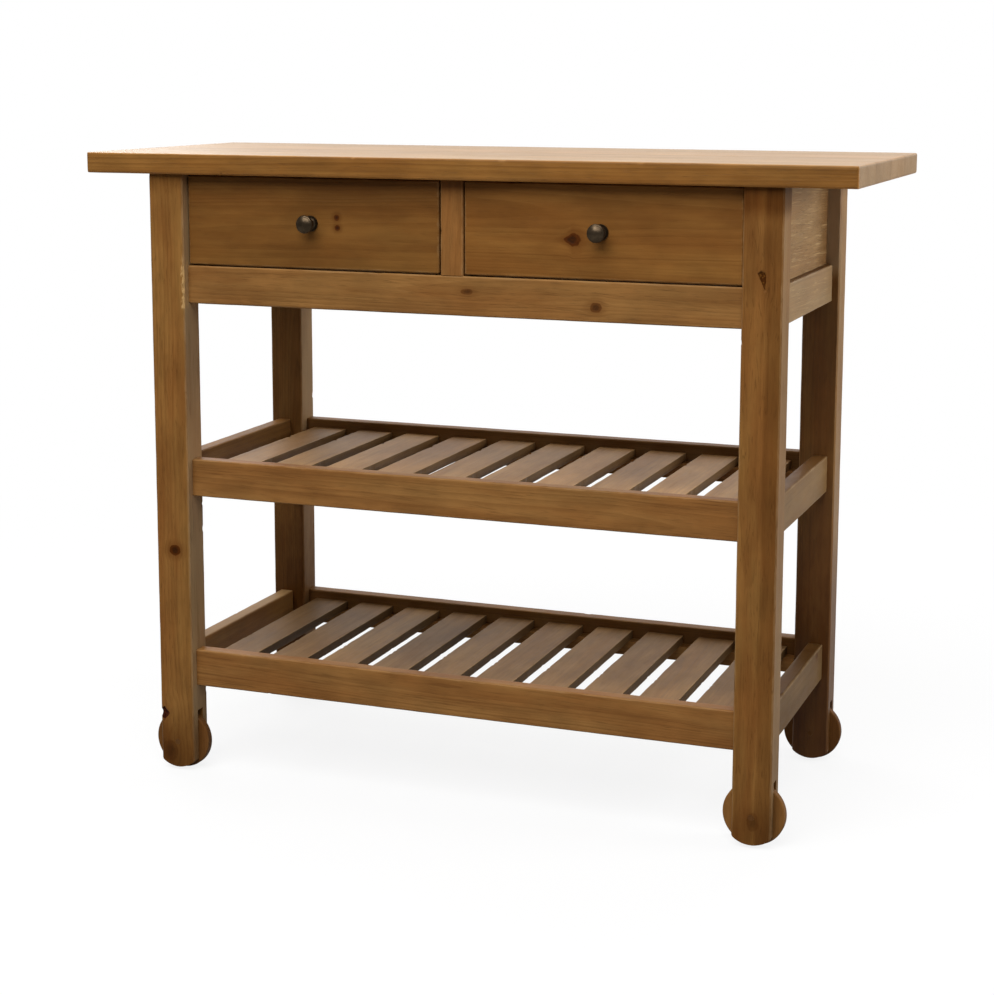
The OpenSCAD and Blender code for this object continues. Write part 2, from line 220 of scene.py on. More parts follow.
# A scar of pale torn wood, with half its width
Scar = namedtuple("Scar", "top bottom across width")
# A small chip on a long edge, with the edge's side of each axis across the grain and half its length
Chip = namedtuple("Chip", "along side second_side half depth")
# Many boards side by side in one mesh, which touch where their pitch is their width
Strips = namedtuple("Strips", "axis start pitch width")
# A dark swathe along the grain
Swathe = namedtuple("Swathe", "middle width depth")

RUBBED_AND_LIT = srgb(202, 170, 122)
TORN = srgb(196, 158, 104)
# The tint of the darkening bands, which are mostly painted shade
DARKENING_TINT = srgb(172, 148, 118)
KNOT_CORE = srgb(40, 20, 6)
KNOT_LOW = srgb(56, 24, 2)
KNOT_HIGH = srgb(88, 44, 8)
KNOT_HALO = (0.9, 0.74, 0.56, 1)
REDDER = (0.98, 0.88, 0.78, 1)

# The tones of early wood, of late wood and streaks, and of the clouds in the early wood
TONES = {
    "top": (srgb(138, 96, 46), srgb(96, 58, 20), srgb(120, 76, 30)),
    "leg": (srgb(141, 101, 52), srgb(97, 59, 24), srgb(123, 77, 36)),
    "rail": (srgb(147, 105, 57), srgb(103, 64, 28), srgb(129, 83, 40)),
    "drawer": (srgb(122, 83, 38), srgb(83, 48, 15), srgb(105, 65, 26)),
    "slat": (srgb(158, 122, 78), srgb(112, 78, 42), srgb(138, 100, 58)),
    "inner": (srgb(182, 144, 98), srgb(146, 104, 62), srgb(166, 124, 80)),
    "wheel": (srgb(140, 98, 52), srgb(94, 58, 24), srgb(116, 76, 34)),
    # wheel_back is a darker copy of the wheel tones: painted shade for the wheels that stand in shade
    "wheel_back": (srgb(108, 70, 33), srgb(70, 40, 14), srgb(90, 55, 23)),
    "plug": (srgb(104, 70, 36), srgb(80, 48, 20), srgb(92, 58, 28)),
}


@dataclass
class Look:
    """What a board's pine has that is its own."""

    ring: float = 3.0  # a growth ring's width
    pith: tuple = None  # the tree's middle in the board's section, from the board's own middle
    tilt: tuple = None  # how far that middle moves in a metre of grain
    strips: tuple = None
    swathe: tuple = None
    knots: tuple = ()
    hollows: tuple = ()  # they lie on the low side of the second axis across
    # Whole faces with painted light, as pale washes for sheen and side light, or with painted shade
    faces: tuple = ()
    # Bands that darken along an axis, mostly painted shade
    grime: tuple = ()
    scars: tuple = ()
    late: float = 0.32  # how dark the late wood is
    streaks: float = 0.35  # how dark the streaks are
    flecks: float = 0.2  # how dark the flecks are
    worn: float = 0.25  # how pale the edges are
    scratches: float = 0.0  # the share of fine pale lines, or of dark ones where it is below 0
    rough: float = 0.42
    shine: float = 0.08
    # Some boards set this lower or higher as painted shade or light: lit and shaded copies of one tone
    gain: float = 1.0  # how bright the tones are


# Pine

EDGE = 3.0  # how far from an edge wood is rubbed
SEAM = (0.9, 0.3)  # where a seam between glued boards starts to darken, and where it is darkest
KNOT_REACH = 1.9  # how far a knot pushes the grain aside, for its radius
HOLLOW_REACH = 12  # how deep into a board a hollow's paint and form may go
HALF = 0.5 / MM

# Where a knot's parts start and where they are full, for its radius
KNOT_PARTS = {"knot": (1.1, 0.88), "core": (0.8, 0.3), "halo": (2.6, 0.9)}

# Noises: how often they change in a mm along the grain and across it, their detail and their roughness
CLOUDS = (0.0045, 0.026, 3.0, 0.6)
STREAKS = (0.0026, 0.10, 3.0, 0.6)
BLOTS = (0.011, 0.022, 3.0, 0.55)
FIBRE = (0.016, 0.75, 3.0, 0.6)
FLECKS = (0.05, 1.1, 1.0, 0.5)
PATCHES = (0.035, 0.12, 3.0, 0.6)
BENDS = (0.0021, 0.012, 2.0, 0.5)
RIPPLES = (0.012, 0.16, 1.0, 0.5)
DRIFT = (0.007, 0.0, 2.0, 0.5)
UNEVEN = (0.14, 0.14, 2.0, 0.5)
KNOT_RINGS = (0.35, 0.5, 3.0, 0.5)
SPECKS = (0.35, 0.5, 2.0, 0.5)
SCRATCHED = (0.018, 0.05, 2.0, 0.5)
SPLINTERS = (0.10, 0.5, 3.0, 0.6)


class Pine(Tree):
    """One board's pine, all from the piece's own place: rings, fibre, knots, worn edges, marks of use, and
    painted light and shade.

    along, across and deep are the place from the board's middle, on the grain's axis and on the two
    across it. Knots and hollows push the last two aside, and the rings with them. base is the same place
    in a tree of the board's own, before they do.
    """

    def __init__(self, name, grain, box, tones, look):
        self.material = bpy.data.materials.new(name)
        super().__init__(self.material)
        self.look = look
        self.draws = seeded(name)
        self.early, self.dark, self.clouds = (dimmed(tone, look.gain) for tone in TONES[tones])
        # Pale colour for worn edges, and for the painted light washed on faces
        self.pale = tuple((a + b) / 2 for a, b in zip(self.early, RUBBED_AND_LIT))
        self.axes = AXES[grain]
        low, high = box
        self.mid = [(high[i] + low[i]) * HALF for i in range(3)]
        self.half = [(high[i] - low[i]) * HALF for i in range(3)]
        self.xyz = self.parts(self.scaled(self.put("TexCoord", out="Object"), (1 / MM, 1 / MM, 1 / MM)))
        self.place = [self.sub(self.xyz[i], self.mid[i]) for i in range(3)]
        self.offset = [self.draws.uniform(-900, 900) for _ in range(3)]
        self.own, self.seam = None, None
        own_offset = self.lay_strips(look.strips) if look.strips else (0, 0, 0)
        self.along, self.across, self.deep = (self.place[i] for i in self.axes)
        self.base = self.shifted(self.vec(self.along, self.across, self.deep), self.offset)
        self.base = self.shifted(self.base, own_offset)
        self.patch = self.grain(PATCHES)
        self.fibre = self.grain(FIBRE)
        self.fleck = self.grain(FLECKS)

    def grain(self, kind, colour=False):
        """One of the noises above, in the tree of the board's own."""
        along, across, detail, rough = kind
        return self.noise(self.scaled(self.base, (along, across, across)), 1.0, detail, rough, colour)

    def off(self, axis, at):
        """The distance on an axis from a place on the table."""
        return self.sub(self.place[axis], at - self.mid[axis])

    def lay_strips(self, strips):
        """Measures many boards each from its own middle. Gives back where each lies in the tree."""
        i = strips.axis
        index = self.math("FLOOR", self.divide(self.sub(self.xyz[i], strips.start), strips.pitch))
        middle = self.add(self.mul(index, strips.pitch), strips.start + strips.pitch / 2)
        self.place[i] = self.sub(self.xyz[i], middle)
        half_width = strips.width / 2
        if strips.width == strips.pitch:
            outer = self.size(self.sub(self.xyz[i], self.mid[i]))
            seam = self.smooth(self.size(self.place[i]), half_width - SEAM[0], half_width - SEAM[1])
            self.seam = self.mul(seam, self.smooth(outer, self.half[i] - 2, self.half[i] - 6))
        else:
            self.half[i] = half_width
        pick = self.white(self.add(index, self.draws.uniform(0, 50)), colour=True)
        self.own = self.parts(pick)
        return self.scaled(pick, (700, 300, 300))

    def push_knots(self, uneven):
        """Knots push the grain aside. Gives back how much of each of a knot's parts there is."""
        parts = dict.fromkeys(KNOT_PARTS, 0.0)
        for k in self.look.knots:
            axis = self.axes[1] if k.axis is None else k.axis
            forth = self.off(self.axes[0], k.along)
            aside = self.off(axis, k.across)
            high = aside
            if k.tail:
                high = self.mul(aside, self.add(1.0, self.highest(self.mul(forth, k.tail / k.radius), 0.0)))
            far = self.length(self.mul(forth, 1 / k.stretch), high)
            far = self.add(far, self.mul(uneven, 0.4 * k.radius))
            away = self.math("POWER", self.divide(far, KNOT_REACH * k.radius), 2.0)
            push = self.mul(aside, self.math("EXPONENT", self.mul(away, -1.0)), 0.85)
            if axis == self.axes[1]:
                self.across = self.sub(self.across, push)
            else:
                self.deep = self.sub(self.deep, push)
            for part, (start, end) in KNOT_PARTS.items():
                there = self.mul(self.smooth(far, start * k.radius, end * k.radius), k.dark)
                parts[part] = self.highest(parts[part], there)
        return parts

    def push_hollows(self, uneven):
        """Hollows push it aside too. Gives back where each is, with the hollow."""
        along, across, deep = self.axes
        pockets = []
        for h in self.look.hollows:
            share = self.divide(self.off(along, h.top), h.bottom - h.top)
            width = self.mul(self.smooth(share, 0.0, h.belly), self.smooth(share, 1.0, h.belly), h.width)
            off = self.sub(self.off(across, h.across), self.mul(share, h.lean))
            rim = self.add(self.sub(self.size(off), width), self.mul(uneven, 3.0))
            ends = self.mul(self.smooth(share, -0.05, 0.1), self.smooth(share, 1.05, 0.9))
            front = self.smooth(self.place[deep], HOLLOW_REACH - self.half[deep], 8 - self.half[deep])
            pockets.append((self.mul(self.smooth(rim, 0.5, -0.5), ends, front), h))
            near = self.math("EXPONENT", self.mul(off, off, -1 / (3 * h.width) ** 2))
            fade = self.mul(self.smooth(share, -1.2, 0.2), self.smooth(share, 2.2, 0.8))
            self.across = self.sub(self.across, self.mul(off, near, fade, 0.6))
        return pockets

    def late_wood(self):
        """The share of dark late wood, in growth rings round the pith."""
        draws = self.draws
        pith = self.look.pith or (draws.choice((-1, 1)) * draws.uniform(5, 40),
                                  draws.choice((-1, 1)) * draws.uniform(25, 75))
        tilt = self.look.tilt or (draws.uniform(-14, 14), draws.uniform(-22, 22))
        if self.own:
            pith = self.swing(self.own[2], 90), self.add(pith[1], self.mul(self.own[1], 25))
        bend = self.parts(self.grain(BENDS, colour=True))
        from_pith = []
        for side, middle, lean, wave in zip((self.across, self.deep), pith, tilt, bend):
            drift = self.mul(self.along, -lean * MM)
            from_pith.append(self.add(self.sub(side, middle), drift, self.swing(wave, 12)))
        ripple = self.swing(self.grain(RIPPLES), 1.1)
        count = self.divide(self.add(self.length(*from_pith), ripple), self.look.ring)
        uneven = self.noise(self.vec(self.mul(count, 0.37), 0.0, 0.0), detail=0.0)
        count = self.add(count, self.mul(uneven, 1.8))
        part = self.math("FRACT", count)
        which = self.white(self.add(self.math("FLOOR", count), draws.uniform(0, 90)))
        band = self.mul(self.smooth(part, 0.25, 0.9), self.smooth(part, 1.0, 0.93))
        return self.mul(band, self.add(0.35, self.mul(which, 0.65)))

    def worn_edges(self):
        """How rubbed a place is, from how far the board's nearest edge is."""
        gaps = [self.sub(self.half[i], self.size(self.place[i])) for i in range(3)]
        to_edge = self.sub(self.sub(self.add(*gaps), self.lowest(*gaps)), self.highest(*gaps))
        return self.smooth(self.add(to_edge, self.swing(self.patch, EDGE * 2.2)), EDGE, 0.0)

    def fresh_colour(self, late):
        """Clouds, a swathe, streaks, late wood, blots and fibre."""
        cloud = self.smooth(self.grain(CLOUDS), 0.3, 0.7)
        colour = self.mix(self.mul(cloud, 0.8), self.early, self.clouds)
        if self.look.swathe:
            middle, width, depth = self.look.swathe
            drift = self.swing(self.grain(DRIFT), 16)
            off = self.size(self.add(self.off(self.axes[1], middle), drift))
            there = self.smooth(off, 0.62 * width, 0.38 * width)
            colour = self.mix(self.mul(there, depth), colour, self.dark)
        streak = self.smooth(self.grain(STREAKS), 0.46, 0.74)
        colour = self.mix(self.mul(streak, self.look.streaks), colour, self.dark)
        colour = self.mix(self.mul(late, self.look.late), colour, self.dark)
        blot = self.smooth(self.grain(BLOTS), 0.3, 0.7, 0.76, 1.0)
        return self.shade(colour, self.add(blot, self.mul(self.fibre, 0.20)))

    def vary_strips(self, colour):
        """Makes some of many boards lighter and some redder than the rest."""
        light, red, _ = self.own
        spread = 0.16 if self.seam else 0.32
        colour = self.shade(colour, self.add(1 - spread / 2, self.mul(light, spread)))
        return self.mix(self.mul(red, 0.45), colour, self.tinted(colour, REDDER))

    def paint_flecks(self, colour):
        depth = self.look.flecks
        start = 0.2 + 0.4 * depth
        return self.shade(colour, self.smooth(self.fleck, start, start + 0.12, 1 - depth, 1.0))

    def paint_knots(self, colour, parts):
        turn = self.grain(KNOT_RINGS)
        colour = self.mix(self.mul(parts["halo"], 0.5), colour, self.tinted(self.dark, KNOT_HALO))
        colour = self.mix(parts["knot"], colour, self.mix(turn, KNOT_LOW, KNOT_HIGH))
        return self.mix(self.mul(parts["core"], self.smooth(turn, 0.2, 0.5), 0.8), colour, KNOT_CORE)

    def paint_faces(self, colour):
        """Paints light on whole faces as a pale wash, for sheen and side light, or paints shade on them."""
        facing = self.parts(self.put("TexCoord", out="Normal"))
        wash = tuple(pale / early for pale, early in zip(self.pale, self.early))
        for face in self.look.faces:
            turned = self.smooth(facing[face.axis], 0.6 * face.side, 0.95 * face.side)
            if face.heights:
                turned = self.mul(turned, self.smooth(self.xyz[Z], *face.heights))
            left = face.share
            # Painted shade where the share is below 0; painted light, a pale wash, where it is above 0
            if left < 0:
                colour = self.shade(colour, self.add(1.0, self.mul(turned, left)))
            while left > 0:
                washed = self.mix(0.35, self.tinted(colour, wash), dimmed(self.pale, 0.85))
                colour = self.mix(self.mul(turned, min(left, 1.0)), colour, washed)
                left -= 1
        return colour

    # Painted shade in bands along an axis, such as under the top; at the front feet a plain darkening towards
    # the floor
    def paint_darkening(self, colour):
        for axis, start, end, share in self.look.grime:
            reach = self.add(self.xyz[axis], self.swing(self.patch, 0.5 * abs(end - start)))
            darker = self.mul(self.smooth(reach, start, end), share)
            colour = self.mix(darker, colour, self.tinted(colour, DARKENING_TINT))
        return colour

    def paint_scratches(self, colour):
        """Fine lines in patches, a little aslant of the grain."""
        slant = self.add(self.mul(self.deep, 0.30), self.mul(self.along, 0.014))
        aslant = self.shifted(self.vec(self.mul(self.along, 0.005), slant, self.mul(self.across, 0.3)),
                              self.offset)
        line = self.size(self.sub(self.noise(aslant, detail=1.0), 0.5))
        there = self.smooth(self.grain(SCRATCHED), 0.4, 0.6)
        share = self.mul(self.smooth(line, 0.03, 0.008), there, abs(self.look.scratches))
        return self.mix(share, colour, RUBBED_AND_LIT if self.look.scratches > 0 else dimmed(self.dark, 0.45))

    def paint_scars(self, colour):
        along, across, _ = self.axes
        for scar in self.look.scars:
            torn = self.mul(self.sub(self.grain(SPLINTERS), 0.48), 5 * scar.width)
            off = self.add(self.size(self.off(across, scar.across)), torn)
            ends = self.mul(self.smooth(self.off(along, scar.top), 0, -20),
                            self.smooth(self.off(along, scar.bottom), 0, 4))
            ragged = self.smooth(off, scar.width, 0.5 * scar.width)
            colour = self.mix(self.mul(ragged, ends, 0.75), colour, TORN)
        return colour

    def paint_pockets(self, colour, pockets):
        for pocket, hollow in pockets:
            speck = self.smooth(self.grain(SPECKS), 0.5, 0.7)
            colour = self.mix(pocket, colour, self.mix(speck, hollow.low, hollow.high))
        return colour

    def relief(self, late, knot_core):
        height = self.add(self.mul(late, 0.10), self.mul(self.fibre, 0.07), self.mul(self.patch, 0.10),
                          self.mul(self.smooth(self.fleck, 0.2, 0.4), 0.5 * self.look.flecks))
        if self.look.knots:
            height = self.add(height, self.mul(knot_core, -0.3))
        if self.seam:
            height = self.sub(height, self.mul(self.seam, 0.5))
        return self.put("Bump", {"Strength": 0.9, "Distance": MM, "Height": height})

    def finished(self):
        """Builds the whole tree and gives back the material."""
        look = self.look
        uneven = self.sub(self.grain(UNEVEN), 0.5) if look.knots or look.hollows else None
        knots = self.push_knots(uneven)
        pockets = self.push_hollows(uneven)
        late = self.late_wood()
        rubbed = self.worn_edges()
        colour = self.fresh_colour(late)
        if self.own:
            colour = self.vary_strips(colour)
        colour = self.paint_flecks(colour)
        if look.knots:
            colour = self.paint_knots(colour, knots)
        colour = self.mix(self.mul(rubbed, look.worn), colour, self.pale)
        if look.faces:
            colour = self.paint_faces(colour)
        colour = self.paint_darkening(colour)
        if self.seam:
            colour = self.shade(colour, self.sub(1.0, self.mul(self.seam, 0.45)))
        if look.scratches:
            colour = self.paint_scratches(colour)
        colour = self.paint_scars(colour)
        colour = self.paint_pockets(colour, pockets)
        gloss = self.add(look.rough - 0.05, self.mul(self.patch, 0.12), self.mul(late, -0.05),
                         self.mul(rubbed, 0.04))
        bump = self.relief(late, knots["core"])
        shader = self.put("BsdfPrincipled", {"Base Color": colour, "Roughness": gloss, "Normal": bump,
                                             "Specular IOR Level": look.shine})
        self.put("OutputMaterial", {0: shader})
        return self.material


def pine(name, grain, box, tones, **look):
    return Pine(name, grain, box, tones, Look(**look)).finished()


def metal(name, colour, dull, roughness, spots):
    """Plain or aged metal with dull patches and fine scratches. spots is how often they come in a mm."""
    mat = bpy.data.materials.new(name)
    t = Tree(mat)
    place = t.scaled(t.put("TexCoord", out="Object"), (1 / MM, 1 / MM, 1 / MM))
    patch = t.noise(place, spots, 3.0, 0.6)
    grit = t.noise(place, 9 * spots)
    tint = t.mix(t.smooth(patch, 0.35, 0.68), colour, dull)
    rough = t.add(roughness - 0.08, t.mul(patch, 0.2), t.mul(grit, 0.06))
    height = t.add(t.mul(patch, 0.05), t.mul(grit, 0.01))
    bump = t.put("Bump", {"Strength": 0.5, "Distance": MM, "Height": height})
    shader = t.put("BsdfPrincipled", {"Base Color": tint, "Metallic": 1.0, "Roughness": rough,
                                      "Normal": bump})
    t.put("OutputMaterial", {0: shader})
    return mat


# Timber meshes, in metres

MARGIN = 5 * MM  # how far from an edge wear moves a board's skin
FINE = 1.3 * MM  # the distance between cuts where a hollow is
SAME = 0.5 * MM  # cuts that are nearer than this are one
DECIMALS = 6  # of a metre, in the places of cuts beside the grain


def islands(bm):
    """The mesh's separate boards, as lists of vertices."""
    seen, found = set(), []
    for start in bm.verts:
        if start in seen:
            continue
        stack, group = [start], []
        seen.add(start)
        while stack:
            vertex = stack.pop()
            group.append(vertex)
            for edge in vertex.link_edges:
                other = edge.other_vert(vertex)
                if other not in seen:
                    seen.add(other)
                    stack.append(other)
        found.append(group)
    return found


def corners(verts):
    """The low and the high corner of the box round some vertices."""
    return [Vector([pick(v.co[i] for v in verts) for i in range(3)]) for pick in (min, max)]


def merged(places):
    """Places in order, without those that nearly repeat another."""
    kept = []
    for place in sorted(places):
        if not kept or place - kept[-1] > SAME:
            kept.append(place)
    return kept


def cut(bm, axis, place):
    """Cuts the mesh across an axis, without parting it."""
    normal = Vector((0, 0, 0))
    normal[axis] = 1
    bmesh.ops.bisect_plane(bm, geom=bm.verts[:] + bm.edges[:] + bm.faces[:], dist=1e-6,
                           plane_co=place * normal, plane_no=normal)


def evenly(start, end):
    """Fine places from one end to the other, or just past it."""
    return [start + k * FINE for k in range(math.ceil((end - start) / FINE) + 1)]


def eased_step(x):
    x = min(1.0, max(0.0, x))
    return x * x * (3 - 2 * x)


def softened(node, soften):
    """A CAD board's mesh, in as few faces as it needs and with its edges rounded."""
    bm = bmesh.new()
    bm.from_mesh(NODES[node].data)
    bmesh.ops.remove_doubles(bm, verts=bm.verts, dist=1e-6)
    bmesh.ops.dissolve_limit(bm, angle_limit=math.radians(0.3), verts=bm.verts, edges=bm.edges)
    sharp = [e for e in bm.edges if len(e.link_faces) == 2 and e.calc_face_angle() > math.radians(25)]
    bmesh.ops.bevel(bm, geom=sharp, offset=soften * MM, segments=2, affect="EDGES", profile=0.5,
                    clamp_overlap=True)
    return bm


def random_chip(draws, start, end):
    return Chip(draws.uniform(start, end), draws.choice((-1, 1)), draws.choice((-1, 1)),
                draws.uniform(3, 9) * MM, draws.uniform(0.5, 1.3) * MM)


def cut_up(bm, axes, step, chips, hollows, draws):
    """Cuts a board where wear, chips and hollows will bend its skin."""
    along, across, deep = axes
    low, high = corners(bm.verts)
    span = high[along] - low[along]
    count = max(2, round(span / (step * MM)))
    places = [low[along] + MARGIN, high[along] - MARGIN]
    places += [low[along] + span * (i + draws.uniform(-0.25, 0.25)) / count for i in range(1, count)]
    for chip in chips:
        places += [chip.along + chip.half * share for share in (-1, -0.7, -0.3, 0.1, 0.5, 0.8, 1)]
    sideways = {across: [], deep: []}
    for h in hollows:
        places += evenly(h.bottom * MM, h.top * MM)
        sideways[across] += evenly((h.across - h.width + min(h.lean, 0)) * MM,
                                   (h.across + h.width + max(h.lean, 0)) * MM)
    for place in merged(places):
        if low[along] < place < high[along]:
            cut(bm, along, place)
    for board in islands(bm):
        low, high = corners(board)
        for i in (across, deep):
            if high[i] - low[i] > 3 * MARGIN:
                sideways[i] += [low[i] + MARGIN, high[i] - MARGIN]
    for i in (across, deep):
        for place in merged(round(place, DECIMALS) for place in sideways[i]):
            cut(bm, i, place)


def edge_wear(co, low, high, axes, wear, chips, own):
    """How far wear and chips move a place near a board's edges."""
    along, across, deep = axes
    gap = [min(co[i] - low[i], high[i] - co[i]) for i in range(3)]
    inward = [1 if co[i] - low[i] < high[i] - co[i] else -1 for i in range(3)]
    move = Vector((0, 0, 0))
    for i, j in ((along, across), (along, deep), (across, deep)):
        if max(gap[i], gap[j]) >= MARGIN:
            continue
        fade = (1 - gap[i] / MARGIN) * (1 - gap[j] / MARGIN)
        edge_axis = 3 - i - j
        spot = Vector((co[edge_axis] * 34, own + 7 * inward[i] + 13 * i, own + 5 * inward[j] + 17 * j))
        depth = wear * MM * (0.5 + 0.9 * noise.noise(spot) + 0.4 * noise.noise(spot * 3.1))
        if edge_axis == along:
            for chip in chips:
                off = abs(co[along] - chip.along) / chip.half
                if off < 1 and (inward[across], inward[deep]) == (-chip.side, -chip.second_side):
                    depth += chip.depth * (1 - off * off) * (0.8 + 0.4 * noise.noise(spot * 9))
        move[i] += inward[i] * max(0.0, depth) * fade
        move[j] += inward[j] * max(0.0, depth) * fade
    return move


def hollow_wear(co, low, axes, hollows):
    """How far hollows move a place on a board's front, and round the corner beside it."""
    along, across, deep = axes
    move = Vector((0, 0, 0))
    corner = 6 * MM
    for h in hollows:
        share = (h.top - co[along] / MM) / (h.top - h.bottom)
        if not 0 < share < 1:
            continue
        width = h.width * eased_step(share / h.belly) * eased_step((1 - share) / (1 - h.belly))
        off = (co[across] / MM - h.across - h.lean * share) / max(width, 0.1)
        inside = max(0.0, 1 - off * off) * max(0.0, 1 - (co[deep] - low[deep]) / (HOLLOW_REACH * MM))
        move[deep] += h.depth * MM * inside
        if co[across] - low[across] < corner:
            move[across] += 0.6 * h.depth * MM * inside * (1 - (co[across] - low[across]) / corner)
    return move


def timber(node, grain, step=14, soften=0.5, wear=0.3, chips=3, extra_chips=(), hollows=()):
    """A worn board in place of a plain one: rounded corners, edges that waver, chips and hollows.

    step is the distance between cuts along the grain, soften the rounding of the corners and wear the
    waver of the edges. chips is how many there are at random, extra_chips the Chips at chosen places.
    """
    draws = seeded(node)
    axes = AXES[grain]
    bm = softened(node, soften)
    low, high = corners(bm.verts)
    chips = [random_chip(draws, low[axes[0]], high[axes[0]]) for _ in range(chips)]
    chips += [Chip(c.along * MM, c.side, c.second_side, c.half * MM, c.depth * MM) for c in extra_chips]
    cut_up(bm, axes, step, chips, hollows, draws)
    for board in islands(bm):
        low, high = corners(board)
        own = draws.uniform(0, 90)
        for vertex in board:
            worn = edge_wear(vertex.co, low, high, axes, wear, chips, own)
            vertex.co += worn + hollow_wear(vertex.co, low, axes, hollows)
    return stand_in(bm, node)


def stand_in(bm, node):
    """Turns a bmesh into the piece that stands for a CAD node, on the same body."""
    name = node + "_timber"
    mesh = bpy.data.meshes.new(name)
    bmesh.ops.recalc_face_normals(bm, faces=bm.faces)
    bm.to_mesh(mesh)
    bm.free()
    mesh.polygons.foreach_set("use_smooth", [True] * len(mesh.polygons))
    mesh.set_sharp_from_angle(angle=math.radians(50))
    piece = bpy.data.objects.new(name, mesh)
    bpy.context.scene.collection.objects.link(piece)
    normals = piece.modifiers.new("normals", "WEIGHTED_NORMAL")
    normals.keep_sharp = True
    cad = NODES[node]
    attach(piece, cad["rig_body"])
    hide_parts(node)
    return piece


def dress(obj, mat):
    """Gives all of an object's material slots one material."""
    if obj.data.materials:
        for i in range(len(obj.data.materials)):
            obj.data.materials[i] = mat
    else:
        obj.data.materials.append(mat)


def ease(node, width=0.5):
    """A small bevel on a CAD node that keeps its own mesh."""
    bevel = NODES[node].modifiers.new("ease", "BEVEL")
    bevel.width = width * MM
    bevel.segments = 2
    bevel.limit_method = "ANGLE"
    bevel.angle_limit = math.radians(40)
    bevel.harden_normals = True


# The boards, each with its grain's axis, its tones, its Look and its form in timber()

# A resin pocket, a bite out of a foot and a torn edge
SPLIT = (Hollow(765, 736, 427.0, 6, 5.2, 0.12, 2.6, srgb(66, 34, 8), srgb(118, 76, 26)),)
BITE = (Hollow(95, 72, -450.5, 1, 8.5, 0.45, 3.2, srgb(48, 18, 8), srgb(82, 38, 16)),)
TORN_EDGE = (Chip(735, 1, -1, 12, 1.2), Chip(712, 1, -1, 6, 1.4), Chip(700, 1, -1, 3, 1.2))
TOP_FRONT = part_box("table_top")[0][1] / MM
PLANKS = Strips(Y, TOP_FRONT, 110, 110)
# The slats' faces are painted shade on their sides
SLATS = dict(strips=Strips(X, -400, 80, 56), pith=(0, 40), rough=0.5,
             faces=(Face(X, 1, -0.5), Face(X, -1, -0.5)))
# Darker towards the floor
FEET = (Grime(Z, 95, 8, 0.55),)
# Painted shade on the lower back legs
BACK_FEET = (Grime(Z, 420, 150, 0.9),)
# Painted shade under the top's overhang
UNDER_TOP = (Grime(Z, 840, 868, 0.1),)
# Painted light on the side faces: a pale wash for sheen and side light
SIDES = (Face(X, 1, 0.8), Face(X, -1, 0.8))
# Painted shade on the front faces of the back legs
DARK_FRONT = (Face(Y, -1, -0.25),)
SHADED_RAIL = (Face(Y, -1, -0.38),)

